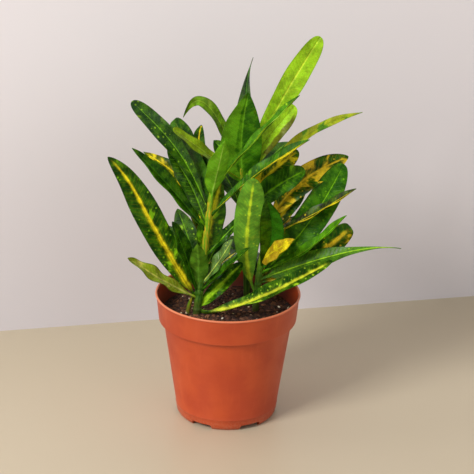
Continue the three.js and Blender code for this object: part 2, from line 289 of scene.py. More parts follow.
pot_material, tree, shader = new_material("terracotta_plastic", IOR=1.49)
place = node(tree, "TexCoord").outputs["Object"]
x, y, height = node(tree, "SeparateXYZ", {0: place}).outputs
cloud = node(tree, "TexNoise", {"Vector": place, "Scale": 38.0, "Detail": 4.0}).outputs["Fac"]
grit = node(tree, "TexNoise", {"Vector": place, "Scale": 900.0, "Detail": 2.0}).outputs["Fac"]
drawn = node(tree, "Mapping", {"Vector": place, "Scale": (260, 260, 14)}).outputs[0]
streaks = node(tree, "TexNoise", {"Vector": drawn, "Scale": 1.0, "Detail": 2.0}).outputs["Fac"]
clay = blend(tree, fade(tree, cloud, 0.35, 0.65), srgb(188, 73, 29), srgb(175, 62, 24))
clay = blend(tree, fade(tree, streaks, 0.55, 0.8, 0, 0.25), clay, srgb(203, 88, 46))
low_dust = fade(tree, height, 0.0, 0.012, 0.22, 0.0)
dusty = maths(tree, "MULTIPLY", low_dust, fade(tree, grit, 0.4, 0.6))
clay = blend(tree, dusty, clay, srgb(205, 150, 118))
squared = maths(tree, "ADD", maths(tree, "MULTIPLY", x, x), maths(tree, "MULTIPLY", y, y))
far_out = maths(tree, "SQRT", squared)
# The top of the rolled lip is painted a paler peach, as a painted highlight.
lip_painted_highlight = maths(tree, "MULTIPLY", fade(tree, height, (POT_HEIGHT - 1.7) * MM, (POT_HEIGHT - 1.0) * MM),
                 fade(tree, cloud, 0.3, 0.6, 0.4, 0.65))
clay = blend(tree, lip_painted_highlight, clay, srgb(236, 148, 106))
# The collar's inside is painted darker, most of all low down near the mix, as painted shade. Both of its
# faces lean out as they rise, and with that lean taken off, all of the inner one lies nearer the axis than
# this radius.
COLLAR_LEAN = 0.12
COLLAR_MIDDLE_RADIUS = 40.1
upright = maths(tree, "SUBTRACT", far_out, maths(tree, "MULTIPLY", height, COLLAR_LEAN))
inner = maths(tree, "MULTIPLY", maths(tree, "LESS_THAN", upright, COLLAR_MIDDLE_RADIUS * MM),
              fade(tree, height, (collar_foot + 0.5) * MM, (collar_foot + 1.5) * MM))
inner_painted_shade = maths(tree, "MULTIPLY", inner, fade(tree, height, 0.0925, 0.080, 0.1, 0.9))
tree.links.new(blend(tree, inner_painted_shade, clay, srgb(96, 36, 18)), shader.inputs["Base Color"])
tree.links.new(fade(tree, cloud, 0.3, 0.7, 0.36, 0.5), shader.inputs["Roughness"])
bump = node(tree, "Bump", {"Height": maths(tree, "ADD", maths(tree, "MULTIPLY", grit, 0.35), streaks),
                           "Distance": 0.00012, "Strength": 0.35})
tree.links.new(bump.outputs[0], shader.inputs["Normal"])
moulded.materials.clear()
moulded.materials.append(pot_material)
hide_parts("pot")
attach(pot, "root")

# ---------------------------------------------------------------- Bark mix
# The pot is filled with moist fine bark and peat, poured and pressed down round the cuttings. Its surface
# is lumpy and loose, with chips of bark and white grains of perlite lying in it.
SOIL_LEVEL = 78
SOIL_RELIEF = 1.3
SOIL_RINGS = 52
SOIL_SIDES = 180
CLEARANCE = 0.3


def soil_height(x, y):
    """How high the lumpy surface stands at a place, in millimetres."""
    lumps = math.sin(0.33 * x + 1.4 * math.sin(0.21 * y)) * math.cos(0.29 * y - 0.9 * math.sin(0.17 * x))
    bits = 0.5 * math.sin(0.83 * x - 0.4 * y) * math.sin(0.71 * y + 0.3 * x)
    edge = 1 - (math.hypot(x, y) / COLLAR_FOOT_RADIUS) ** 6
    crumbs = 0.9 * noise.noise(Vector((x, y, 0)) * 0.45) + 0.5 * noise.noise(Vector((x, y, 7)) * 1.1)
    return SOIL_LEVEL + SOIL_RELIEF * edge * (lumps + bits) + crumbs


top_radius = COLLAR_FOOT_RADIUS - WALL + 0.2 - CLEARANCE
bm = bmesh.new()
profile = [(0, FLOOR_TOP + CLEARANCE)]
profile += [(radius - CLEARANCE, height + CLEARANCE) for radius, height in inside[:6]]
profile += [(top_radius * (1 - ring / SOIL_RINGS), SOIL_LEVEL) for ring in range(SOIL_RINGS + 1)]
outline = [bm.verts.new((radius * MM, 0, height * MM)) for radius, height in profile]
edges = [bm.edges.new(pair) for pair in zip(outline, outline[1:])]
bmesh.ops.spin(bm, geom=outline + edges, cent=(0, 0, 0), axis=(0, 0, 1), angle=2 * math.pi,
               steps=SOIL_SIDES, use_merge=True)
bmesh.ops.remove_doubles(bm, verts=bm.verts, dist=1e-6)
bmesh.ops.recalc_face_normals(bm, faces=bm.faces)
for crumb in bm.verts:
    if abs(crumb.co.z - SOIL_LEVEL * MM) < 1e-6:
        crumb.co.z = soil_height(crumb.co.x / MM, crumb.co.y / MM) * MM

soil_material, tree, shader = new_material("moist_bark_mix", Roughness=0.85)
place = node(tree, "TexCoord").outputs["Object"]
crumbs = node(tree, "TexVoronoi", {"Vector": place, "Scale": 650.0, "Randomness": 1.0})
clods = node(tree, "TexNoise", {"Vector": place, "Scale": 160.0, "Detail": 5.0,
                                "Roughness": 0.7}).outputs["Fac"]
tint = node(tree, "SeparateColor", {0: crumbs.outputs["Color"]}).outputs[0]
earth = blend(tree, fade(tree, clods, 0.35, 0.65), srgb(30, 15, 9), srgb(78, 44, 30))
earth = blend(tree, fade(tree, tint, 0.72, 0.95, 0, 0.8), earth, srgb(108, 66, 42))
tree.links.new(earth, shader.inputs["Base Color"])
lumpy = maths(tree, "ADD", clods, maths(tree, "MULTIPLY", crumbs.outputs["Distance"], -0.6))
bump = node(tree, "Bump", {"Height": lumpy, "Distance": 0.0012, "Strength": 0.9})
tree.links.new(bump.outputs[0], shader.inputs["Normal"])
bark_mix = finish_piece("bark_mix", bm, soil_material)
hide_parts("soil")
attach(bark_mix, "root")

# ---------------------------------------------------------------- Loose bark chips and perlite
# Broken bark lies flat or on edge in the mix, and swollen white and tan grains of perlite lie between. Both
# came in with the mix and lie about half sunk in its surface.
draw = random.Random(11)
CHIPS = 950
PERLITE_GRAINS = 60
JAGGED = 0.11  # how far a lump's corners are pushed about, as a share of its size


def scatter(bm, count, sizes, flatness, subdivisions, sink, tint_layer, reach):
    """Lumps of random size and turn, pressed into the surface, each with a tint of its own."""
    for _ in range(count):
        distance, angle = reach * math.sqrt(draw.random()), draw.uniform(0, 2 * math.pi)
        x, y = distance * math.cos(angle), distance * math.sin(angle)
        size = draw.uniform(*sizes)
        height = soil_height(x, y) - sink * size
        shape = Matrix.Diagonal((draw.uniform(0.8, 1.6), draw.uniform(0.6, 1.0), flatness, 1))
        lean = Matrix.Rotation(draw.uniform(0, 6.28), 4, "Z") @ Matrix.Rotation(draw.gauss(0, 0.5), 4, "X")
        at = Matrix.Translation((x * MM, y * MM, height * MM)) @ lean @ shape @ Matrix.Scale(size * MM, 4)
        made = bmesh.ops.create_icosphere(bm, subdivisions=subdivisions, radius=0.5, matrix=at)["verts"]
        tint = draw.random()
        for point in made:
            point.co += Vector([draw.uniform(-1, 1) for _ in range(3)]) * size * JAGGED * MM
            point[tint_layer] = tint


def loose_material(name, dark, light, roughness, grain):
    """A broken, granular surface between two tints."""
    material, tree, shader = new_material(name, Roughness=roughness)
    tint = node(tree, "Attribute", attribute_name="tint").outputs["Fac"]
    place = node(tree, "TexCoord").outputs["Object"]
    rough = node(tree, "TexNoise", {"Vector": place, "Scale": grain, "Detail": 4.0}).outputs["Fac"]
    pale = maths(tree, "POWER", tint, 2.2)
    share = maths(tree, "ADD", maths(tree, "MULTIPLY", pale, 0.8), maths(tree, "MULTIPLY", rough, 0.25))
    tree.links.new(blend(tree, share, dark, light), shader.inputs["Base Color"])
    bump = node(tree, "Bump", {"Height": rough, "Distance": 0.0004, "Strength": 0.8})
    tree.links.new(bump.outputs[0], shader.inputs["Normal"])
    return material


bm = bmesh.new()
scatter(bm, CHIPS, (1.2, 4.6), 0.42, 1, 0.05, bm.verts.layers.float.new("tint"), 45.5)
chips = finish_piece("bark_chips", bm,
                     loose_material("broken_bark", srgb(34, 15, 9), srgb(146, 96, 62), 0.8, 900.0))
bm = bmesh.new()
scatter(bm, PERLITE_GRAINS, (0.5, 2.0), 0.7, 2, -0.1, bm.verts.layers.float.new("tint"), 45.0)
perlite = finish_piece("perlite_grains", bm,
                       loose_material("perlite", srgb(190, 164, 122), srgb(244, 236, 214), 0.75, 1400.0))
for piece in (chips, perlite):
    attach(piece, "root")

# ---------------------------------------------------------------- Left stem and its leaves
# A rooted cutting with a green stalk and long leathery leaves on short round stalks. The leaves are glossy
# above and dull below, dark green or lime, with a yellow rib and with yellow marks along their side veins.
STALK = 2.2  # how wide a leaf's own stalk is at its root
STALK_DEPTH = 2.0
STALK_SLIMMER = 0.75
STALK_SHARE = 0.08  # of the leaf's length
STALK_ROUND_TO = 0.05
STALK_INTO_BLADE = 0.14  # the share over which the round stalk turns flat
BLADE_DEPTH = 0.5
THINNER_AT_MARGIN = 0.22
RIDGE_BELOW_RIB = 0.55
RIDGE_SPREAD = 0.75
LEAF_COLUMNS = 12
LEAF_ROWS = 46
STEM_SIDES = 20
STEM_STEP = 1.6
STEM_SLIMMER = 0.45
LEAF_RING = 0.28  # how far a stem swells where a leaf leaves it
LEAF_RING_SPREAD = 1.3
ROOTED = 20  # how deep a stem stands in the soil
VEIN_SPACING = 3.3
VEIN_SWEEP = 0.8

DARK = srgb(25, 70, 5)
MID = srgb(68, 128, 10)
BRIGHT = srgb(108, 166, 18)
LIME = srgb(150, 196, 34)
PALE = srgb(196, 216, 84)
YELLOW = srgb(228, 208, 30)
GOLD = srgb(214, 184, 34)
OLIVE = srgb(104, 122, 34)
GREY = srgb(72, 124, 42)
# body is the leaf's own colour. marks is the colour of the rib, the side veins and a coloured half. flecks
# is the colour of the patches and speckles. rib sets how wide the rib's colour is at its root, edge how
# dark the margin is, and patch, speckle and vein how much of each there is.
LOOKS = {
    "dark": dict(body=DARK, marks=BRIGHT, rib=0.7, edge=0.4, patch=0.04, speckle=0.14, vein=0.12),
    "golden_rib": dict(body=DARK, marks=YELLOW, rib=3.2, edge=0.4, patch=0.12, speckle=0.22, vein=0.12),
    "veined": dict(body=MID, marks=BRIGHT, rib=1.6, edge=0.2, patch=0.05, speckle=0.02, vein=0.6),
    "bright": dict(body=BRIGHT, marks=PALE, rib=1.3, edge=0.3, patch=0, speckle=0.03, vein=0.55),
    "lime": dict(body=LIME, marks=PALE, rib=2.4, edge=0.9, patch=0.3, speckle=0.05, vein=0.25),
    "mottled": dict(body=DARK, marks=GOLD, rib=2.0, edge=0.3, patch=0.5, speckle=0.25, vein=0.3),
    "yellow": dict(body=GOLD, marks=YELLOW, rib=1.5, edge=0.5, patch=0.4, speckle=0, vein=0.2),
    "olive": dict(body=OLIVE, marks=PALE, rib=1.8, edge=0.7, patch=0.2, speckle=0.08, vein=0.4),
    "grey": dict(body=GREY, marks=LIME, rib=2.8, edge=0.2, patch=0, speckle=0.06, vein=0.35),
}
# arch and sway bow a leaf up and to its right, most at the share of its length that peak gives, and hang
# hooks its end down. wide is its width, greatest at the share widest, and a higher taper narrows it faster
# from there. turn rolls it about its length, twist winds it and fold raises each half from the rib, all in
# degrees. ripple and waves are the height and number of its margin's waves. half is how much of one half
# takes the colour of marks, + or - by side, from the share begin on, and gloss is how much it shines.
FORM = dict(arch=3, sway=0, peak=0.5, hang=0, wide=18, turn=0, twist=0, fold=14, widest=0.55, taper=1.5,
            ripple=0.9, waves=3, half=0, begin=0, gloss=0.11)


def leaf(at, tip, look, **changes):
    """One leaf: the height where it leaves its stem, where its tip is, its look, and what is special."""
    form = {"at": at, "tip": tip, **FORM, **LOOKS[look], **changes}
    return {"flecks": form["marks"], **form}


def stem_point(stem, height):
    """The middle of a stem at a height. It stands straight down in the soil."""
    t = min(1, max(0, (height - SOIL_LEVEL) / (stem["top"][2] - SOIL_LEVEL)))
    bend = math.sin(math.pi * t)
    x, y = (foot + (top - foot) * t + bow * bend
            for foot, top, bow in zip(stem["foot"], stem["top"], stem["bow"]))
    return Vector((x, y, height))


def grow_leaf(bm, layers, stem, form, seed):
    """A grid is bent along an arching rib, drawn in to a stalk and a tip, and thickened."""
    base = stem_point(stem, form["at"])
    droop = Vector((0, 0, form["hang"]))
    chord = Vector(form["tip"]) - base + droop
    straight = chord.normalized()
    up = (Vector((0, 0, 1)) - straight * straight.z).normalized()
    right = straight.cross(up)
    facing = up * math.cos(math.radians(form["turn"])) + right * math.sin(math.radians(form["turn"]))
    to_peak = math.log(0.5) / math.log(form["peak"])  # the power that takes the peak's share to a half
    widest = form["widest"]
    rise = math.radians(form["fold"])

    def rib(s):
        bend = math.sin(math.pi * s ** to_peak)
        return base + chord * s + up * form["arch"] * bend + right * form["sway"] * bend - droop * s ** 6

    grid = bmesh.ops.create_grid(bm, x_segments=LEAF_COLUMNS, y_segments=LEAF_ROWS, size=1)["verts"]
    below = list(dict.fromkeys(face for point in grid for face in point.link_faces))
    # A point keeps its side, -1 to 1, and its share of the length. Rows lie closer together near the tip.
    for point in grid:
        point[layers["place"]] = (point.co.x, 1 - (1 - (point.co.y + 1) / 2) ** 1.5, seed)
    made = bmesh.ops.extrude_face_region(bm, geom=below)["geom"]
    upper = [item for item in made if isinstance(item, bmesh.types.BMVert)]
    bmesh.ops.reverse_faces(bm, faces=below)
    for face in below:
        face.material_index = 1
    sections = {}
    for level, points in ((-1, grid), (1, upper)):
        for point in points:
            side, s, _ = point[layers["place"]]
            if s not in sections:
                ahead = (rib(min(1, s + 0.01)) - rib(max(0, s - 0.01))).normalized()
                normal = (facing - ahead * facing.dot(ahead)).normalized()
                normal.rotate(Matrix.Rotation(math.radians(form["twist"] * s), 3, ahead))
                u = max(0, (s - STALK_SHARE) / (1 - STALK_SHARE))
                blade = (u / widest) ** widest * (max(0, 1 - u) / (1 - widest)) ** (1 - widest)
                sections[s] = (rib(s), normal, ahead.cross(normal), blade ** form["taper"])
            middle, normal, sideways, blade = sections[s]
            half = max(blade * form["wide"], STALK * (1 - STALK_SLIMMER * s)) / 2
            wave = form["ripple"] * blade * math.sin(2 * math.pi * form["waves"] * s + 2 * side) * abs(side)
            stalk = 1 - min(1, max(0, (s - STALK_ROUND_TO) / STALK_INTO_BLADE))
            thick = BLADE_DEPTH - THINNER_AT_MARGIN * side * side
            thick += stalk * stalk * (STALK_DEPTH * math.sqrt(max(0.05, 1 - side * side)) - thick)
            ridge = RIDGE_BELOW_RIB * (1 - s) * math.exp(-(side * half / RIDGE_SPREAD) ** 2)
            below_rib = ridge if level < 0 else 0
            lift = abs(side) ** 1.15 * half * math.sin(rise) + wave + level * (thick / 2) - below_rib
            point.co = (middle + sideways * side * half * math.cos(rise) + normal * lift) * MM
            point[layers["span"]] = (side * half, s * chord.length, form["half"])
            point[layers["body"]] = form["body"][:3] + (form["edge"],)
            point[layers["marks"]] = form["marks"][:3] + (form["rib"],)
            point[layers["flecks"]] = form["flecks"][:3] + (form["begin"],)
            point[layers["pattern"]] = (form["patch"], form["speckle"], form["vein"])
            point[layers["gloss"]] = form["gloss"]


def grow_stem(bm, stem, bumps=()):
    """A round stem drawn up along its line, slimmer to its top, with a ring where each leaf leaves it."""
    low, top = SOIL_LEVEL - ROOTED, stem["top"][2]
    ring = bmesh.ops.create_circle(bm, cap_ends=True, segments=STEM_SIDES, radius=1)["verts"]
    end = ring[0].link_faces[0]
    steps = int((top - low) / STEM_STEP)
    for step in range(steps + 1):
        share = step / steps
        height = low + share * (top - low)
        swell = sum(LEAF_RING * math.exp(-((height - bump) / LEAF_RING_SPREAD) ** 2) for bump in bumps)
        radius = stem["radius"] * (1 - STEM_SLIMMER * share ** 2) + min(0.5, swell)
        centre = stem_point(stem, height)
        for number, point in enumerate(ring):
            angle = 2 * math.pi * number / STEM_SIDES
            point.co = (centre + Vector((radius * math.cos(angle), radius * math.sin(angle), 0))) * MM
        if step < steps:
            end = next(item for item in bmesh.ops.extrude_face_region(bm, geom=[end])["geom"]
                       if isinstance(item, bmesh.types.BMFace))
            ring = list(end.verts)


def croton_marks():
    """A croton leaf's colours: its rib, side veins, patches along them, speckles and dark margin."""
    tree = bpy.data.node_groups.new("croton_marks", "ShaderNodeTree")
    for kind, names in (("Color", ("Body", "Marks", "Flecks")), ("Float", ("Edge", "Rib", "Begin")),
                        ("Vector", ("Place", "Span", "Pattern"))):
        for name in names:
            tree.interface.new_socket(name=name, in_out="INPUT", socket_type="NodeSocket" + kind)
    for name, kind in (("Colour", "Color"), ("Height", "Float"), ("Sheen", "Float")):
        tree.interface.new_socket(name=name, in_out="OUTPUT", socket_type="NodeSocket" + kind)
    given = tree.nodes.new("NodeGroupInput").outputs
    put = tree.nodes.new("NodeGroupOutput").inputs
    side, s, seed = node(tree, "SeparateXYZ", {0: given["Place"]}).outputs
    over, along, half = node(tree, "SeparateXYZ", {0: given["Span"]}).outputs
    patch, speckle, vein = node(tree, "SeparateXYZ", {0: given["Pattern"]}).outputs
    away, outward = maths(tree, "ABSOLUTE", over), maths(tree, "ABSOLUTE", side)
    # Each leaf's seed takes it to a pattern of its own.
    flat = node(tree, "CombineXYZ", {0: over, 1: along, 2: maths(tree, "MULTIPLY", seed, 37.0)}).outputs[0]
    drift = node(tree, "TexNoise", {"Vector": flat, "Scale": 0.16, "Detail": 2.0}).outputs["Fac"]
    fine = node(tree, "TexNoise", {"Vector": flat, "Scale": 1.6, "Detail": 3.0}).outputs["Fac"]
    shifted = maths(tree, "SUBTRACT", drift, 0.5)
    # Side veins leave the rib and sweep towards the tip.
    sweep = maths(tree, "ADD", maths(tree, "SUBTRACT", along, maths(tree, "MULTIPLY", away, VEIN_SWEEP)),
                  maths(tree, "MULTIPLY", shifted, 3.0))
    spaced = maths(tree, "FRACT", maths(tree, "DIVIDE", sweep, VEIN_SPACING))
    line = fade(tree, maths(tree, "ABSOLUTE", maths(tree, "SUBTRACT", spaced, 0.5)), 0.34, 0.5)
    line = maths(tree, "MULTIPLY", line, fade(tree, outward, 0.97, 0.6))
    # The rib is widest at its root.
    slimmer = maths(tree, "SUBTRACT", 1.0, maths(tree, "MULTIPLY", s, 0.72))
    on_blade = maths(tree, "MULTIPLY", fade(tree, s, 0.06, 0.17), fade(tree, s, 0.99, 0.86))
    width = maths(tree, "MULTIPLY", maths(tree, "MULTIPLY", given["Rib"], slimmer),
                  maths(tree, "ADD", 0.5, maths(tree, "MULTIPLY", shifted, 0.9)))
    from_rib = maths(tree, "DIVIDE", away, maths(tree, "ADD", width, 0.1))
    rib = maths(tree, "MULTIPLY", fade(tree, from_rib, 1.3, 0.75), on_blade)
    rib_halo = maths(tree, "MULTIPLY", fade(tree, from_rib, 2.4, 0.9), on_blade)
    # Soft patches lie along the side veins.
    drawn = node(tree, "CombineXYZ", {0: maths(tree, "MULTIPLY", over, 0.09),
                                      1: maths(tree, "MULTIPLY", sweep, 0.1),
                                      2: maths(tree, "MULTIPLY", seed, 11.0)}).outputs[0]
    blot = node(tree, "TexNoise", {"Vector": drawn, "Scale": 1.0, "Detail": 3.0}).outputs["Fac"]
    over_level = maths(tree, "ADD", maths(tree, "SUBTRACT", blot, 0.70),
                       maths(tree, "MULTIPLY", patch, 0.42))
    blotch = fade(tree, over_level, -0.01, 0.04)
    blotch_halo = fade(tree, over_level, -0.08, 0.03)
    dots = node(tree, "TexVoronoi", {"Vector": flat, "Scale": 0.4, "Randomness": 1.0})
    picked = node(tree, "SeparateColor", {0: dots.outputs["Color"]}).outputs[0]
    dot = maths(tree, "MULTIPLY", fade(tree, dots.outputs["Distance"], 0.38, 0.18),
                maths(tree, "LESS_THAN", picked, speckle))
    fleck = maths(tree, "MAXIMUM", blotch, maths(tree, "MULTIPLY", dot, 0.75))
    # One half, or its outer part, takes the rib's colour.
    which = maths(tree, "ADD", maths(tree, "MULTIPLY", side, maths(tree, "SIGN", half)),
                  maths(tree, "MULTIPLY", shifted, 0.35))
    margin = maths(tree, "SUBTRACT", 1.03, maths(tree, "ABSOLUTE", half))
    half_on = fade(tree, maths(tree, "SUBTRACT", which, margin), -0.06, 0.06)
    started = maths(tree, "ADD", maths(tree, "SUBTRACT", s, given["Begin"]),
                    maths(tree, "MULTIPLY", shifted, 0.2))
    half_on = maths(tree, "MULTIPLY", maths(tree, "MULTIPLY", half_on, on_blade),
                    fade(tree, started, -0.03, 0.03))
    # The marks are laid over the leaf's own green, from the faintest to the strongest.
    warmer = blend(tree, 0.2, given["Body"], srgb(104, 154, 10))
    colour = blend(tree, fade(tree, drift, 0.35, 0.65), given["Body"], warmer)
    veined = maths(tree, "MULTIPLY", line, maths(tree, "MULTIPLY", vein, 0.5))
    colour = blend(tree, veined, colour, given["Marks"])
    colour = blend(tree, maths(tree, "MULTIPLY", blotch_halo, 0.35), colour, given["Flecks"])
    colour = blend(tree, fleck, colour, given["Flecks"])
    colour = blend(tree, maths(tree, "MULTIPLY", rib_halo, 0.35), colour, given["Marks"])
    colour = blend(tree, maths(tree, "MAXIMUM", rib, half_on), colour, given["Marks"])
    dark_edge = maths(tree, "MULTIPLY", fade(tree, outward, 0.88, 0.985), given["Edge"])
    colour = blend(tree, dark_edge, colour, srgb(34, 62, 18))
    depth = maths(tree, "MULTIPLY", fade(tree, fine, 0.3, 0.7, 0.86, 1.12),
                  fade(tree, drift, 0.35, 0.65, 0.78, 1.3))
    shade = node(tree, "HueSaturation", {"Value": depth, "Color": colour})
    tree.links.new(shade.outputs[0], put["Colour"])
    relief = maths(tree, "SUBTRACT", maths(tree, "MULTIPLY", fine, 0.25),
                   maths(tree, "MULTIPLY", line, 0.8))
    tree.links.new(maths(tree, "SUBTRACT", relief, fade(tree, away, 1.0, 0.15, 0, 1.6)), put["Height"])
    tree.links.new(fade(tree, fine, 0.3, 0.7), put["Sheen"])
    return tree


def leaf_material(name, marks_group, glossiest, dullest, relief, pale, shine):
    """One side of a leaf. pale is how much it is bleached, and shine is its share of the leaf's gloss."""
    material, tree, shader = new_material(name, Subsurface_Weight=0.1, Subsurface_Scale=0.0015)
    gloss = node(tree, "Attribute", attribute_name="gloss").outputs["Fac"]
    tree.links.new(maths(tree, "MULTIPLY", gloss, shine), shader.inputs["Specular IOR Level"])
    marked = tree.nodes.new("ShaderNodeGroup")
    marked.node_tree = marks_group
    for layer, value in (("body", "Edge"), ("marks", "Rib"), ("flecks", "Begin")):
        colour = node(tree, "Attribute", attribute_name=layer)
        tree.links.new(colour.outputs["Color"], marked.inputs[layer.capitalize()])
        tree.links.new(colour.outputs["Alpha"], marked.inputs[value])
    for layer in ("place", "span", "pattern"):
        tree.links.new(node(tree, "Attribute", attribute_name=layer).outputs["Vector"],
                       marked.inputs[layer.capitalize()])
    tree.links.new(blend(tree, pale, marked.outputs["Colour"], srgb(112, 150, 44)),
                   shader.inputs["Base Color"])
    roughness = fade(tree, marked.outputs["Sheen"], 0, 1, glossiest, dullest)
    tree.links.new(roughness, shader.inputs["Roughness"])
    bump = node(tree, "Bump", {"Height": marked.outputs["Height"], "Distance": 0.00022, "Strength": relief})
    tree.links.new(bump.outputs[0], shader.inputs["Normal"])
    return material


marks_group = croton_marks()
leaf_above = leaf_material("leaf_above", marks_group, 0.26, 0.40, 0.8, 0.0, 1.0)
leaf_below = leaf_material("leaf_below", marks_group, 0.5, 0.65, -0.9, 0.15, 0.5)

# The stems are painted bright green with yellow streaks at their tops and along the side shoot, which stands
# left of this place, partly as young growth and partly as painted light. Lower down they are painted darker,
# as painted shade under the leaves, and they are brown and woody over the soil.
SIDE_SHOOT_RIGHT = -0.0252
stalk_material, tree, shader = new_material("green_stalk", Subsurface_Weight=0.05, Subsurface_Scale=0.001,
                                            Specular_IOR_Level=0.3)
place = node(tree, "TexCoord").outputs["Object"]
x, _, height = node(tree, "SeparateXYZ", {0: place}).outputs
drawn = node(tree, "Mapping", {"Vector": place, "Scale": (900, 900, 120)}).outputs[0]
streak = node(tree, "TexNoise", {"Vector": drawn, "Scale": 1.0, "Detail": 3.0}).outputs["Fac"]
bark = blend(tree, fade(tree, streak, 0.4, 0.65), srgb(48, 92, 12), srgb(84, 124, 26))
young_painted_light_green = blend(tree, fade(tree, streak, 0.45, 0.6), srgb(112, 160, 16), srgb(190, 168, 30))
# This share paints the stems brighter and yellower at their tops and on the side shoot, partly young growth
# and partly painted light; where it is low, the darker green is painted shade.
youth_and_painted_light = maths(tree, "MAXIMUM", fade(tree, height, 0.100, 0.135),
              fade(tree, x, SIDE_SHOOT_RIGHT, SIDE_SHOOT_RIGHT - 0.001))
bark = blend(tree, youth_and_painted_light, bark, young_painted_light_green)
woody = maths(tree, "MULTIPLY", fade(tree, height, 0.094, 0.076), fade(tree, streak, 0.35, 0.6, 0.35, 0.9))
tree.links.new(blend(tree, woody, bark, srgb(74, 62, 34)), shader.inputs["Base Color"])
tree.links.new(fade(tree, streak, 0.3, 0.7, 0.5, 0.65), shader.inputs["Roughness"])
bump = node(tree, "Bump", {"Height": streak, "Distance": 0.0003, "Strength": 0.6})
tree.links.new(bump.outputs[0], shader.inputs["Normal"])


def grow_cutting(name, cad_node, stem, leaves, first_seed, shoots=()):
    """A stalk and its leaves, as two pieces that stand for one solid."""
    bm = bmesh.new()
    grow_stem(bm, stem, [form["at"] for form in leaves])
    for shoot in shoots:
        grow_stem(bm, shoot)
    bmesh.ops.recalc_face_normals(bm, faces=bm.faces)
    stalk = finish_piece(name + "_stalk", bm, stalk_material)
    bm = bmesh.new()
    kinds = dict.fromkeys(("place", "span", "pattern"), bm.verts.layers.float_vector)
    kinds |= dict.fromkeys(("body", "marks", "flecks"), bm.verts.layers.float_color)
    kinds["gloss"] = bm.verts.layers.float
    for layer, kind in kinds.items():
        kind.new(layer)
    layers = {layer: kind[layer] for layer, kind in kinds.items()}
    for number, form in enumerate(leaves):
        grow_leaf(bm, layers, stem, form, first_seed + number)
    foliage = finish_piece(name + "_leaves", bm, leaf_above, leaf_below)
    for piece in (stalk, foliage):
        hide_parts(cad_node)
        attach(piece, "root")


left_stem = dict(foot=(-22.4, -4), top=(-12, -5, 180), bow=(0, 0), radius=2.8)
side_shoot = dict(foot=(-28.7, -2.1), top=(-22.5, -4, 96), bow=(-1.5, 0), radius=1.8)
left_leaves = [
    leaf(88, (-85.5, -12, 200.5), "golden_rib", arch=3.2, peak=0.8, wide=20.5, turn=-72, fold=10,
         widest=0.5, taper=1.3, flecks=srgb(130, 190, 20)),
    leaf(90, (-71, -26, 130), "olive", arch=-1.5, wide=14, turn=-32, fold=12, taper=1.6, ripple=1.4,
         body=srgb(142, 158, 34), marks=srgb(196, 196, 84)),
    leaf(156, (-69, -7, 240), "dark", arch=7.2, wide=14, turn=-62, widest=0.68, taper=1.3,
         flecks=LIME, rib=0.5, speckle=0.3, gloss=0.3),
    leaf(154, (-41, 14, 211.5), "dark", arch=4, wide=23, turn=-70, widest=0.6, rib=1.2, marks=MID,
         gloss=0.3),
    leaf(164, (-41, 36, 212), "dark", arch=4, wide=18, turn=-55, widest=0.65, taper=1.1, marks=OLIVE),
    leaf(168, (-4, -24, 218), "bright", arch=0, wide=17, fold=8, widest=0.45, rib=0.8,
         body=srgb(104, 172, 26), marks=srgb(158, 202, 76)),
    leaf(175, (47, -26, 253), "dark", arch=1, wide=9, turn=25, fold=30, half=0.3, rib=0.4,
         body=srgb(66, 122, 16), marks=LIME),
    leaf(153, (55, -18, 218), "dark", arch=3.5, wide=12, turn=25, fold=30, half=0.9, begin=0.62, rib=0.2,
         body=srgb(44, 98, 10), marks=YELLOW, flecks=BRIGHT),
    leaf(142, (-68, -22, 211), "dark", arch=1.5, wide=15, turn=-45, fold=20, widest=0.45, half=-0.3,
         marks=MID),
    leaf(158, (-62, 20, 193), "mottled", sway=2.5, wide=15, turn=-45, widest=0.4, marks=YELLOW, rib=1.2,
         patch=0.42),
    leaf(145, (-44, -4, 205), "dark", wide=15, turn=-60, vein=0.9, gloss=0.4),
    leaf(91, (-40, -18, 155), "dark", arch=1, wide=14, turn=-70, half=-0.12, marks=MID),
    leaf(100, (-37, 2, 157), "dark", arch=2, wide=17, turn=-70, flecks=LIME, rib=0.6, patch=0.1,
         speckle=0.4, gloss=0.5),
    leaf(95, (-22, -26, 142), "olive", arch=4, wide=14, widest=0.4, taper=1.8, body=srgb(62, 106, 22),
         marks=srgb(96, 146, 40), edge=0.3),
    leaf(100, (3, -15, 141), "grey", arch=-1, wide=12, turn=50, body=srgb(84, 118, 56), marks=PALE, rib=0.5,
         gloss=1),
    leaf(96, (6.5, 5, 124), "dark", wide=14, turn=60, taper=1.2, half=0.5, begin=0.72, marks=YELLOW,
         gloss=1),
    leaf(95, (15, -34, 143), "dark", arch=0, wide=9, turn=35, fold=25, half=0.3, marks=MID),
    leaf(82, (10, -4, 118.5), "golden_rib", arch=0, wide=12, turn=60, taper=1, marks=LIME, flecks=BRIGHT,
         speckle=0.35, gloss=0.04),
    leaf(122, (11, 6, 152), "dark", arch=0, wide=8, turn=45, fold=20),
    leaf(119, (-6, 8, 177), "golden_rib", arch=2, wide=21, turn=70, widest=0.42, rib=4.5, patch=0.3,
         marks=srgb(206, 206, 34), flecks=BRIGHT),
    leaf(175, (-21, 26, 212), "golden_rib", sway=-5, peak=0.6, wide=10, turn=-20, rib=1.4),
    leaf(82, (73, -34, 134), "golden_rib", arch=-8.5, peak=0.3, wide=14, twist=75, fold=30, widest=0.48,
         taper=0.95, rib=3.4, patch=0.2, speckle=0.5, marks=srgb(200, 206, 50), flecks=srgb(160, 200, 40)),
    leaf(150, (-46, 50, 172), "dark", arch=6),
    leaf(125, (-30, 62, 165), "golden_rib", arch=7, wide=16),
    leaf(110, (-56, 36, 130), "dark", arch=8),
    leaf(104, (-36, 58, 118), "mottled", arch=8, wide=16),
    leaf(100, (-2, 8, 140), "dark", arch=2, wide=16, turn=60),
]
grow_cutting("left_cutting", "croton_stem_left", left_stem, left_leaves, 1, [side_shoot])

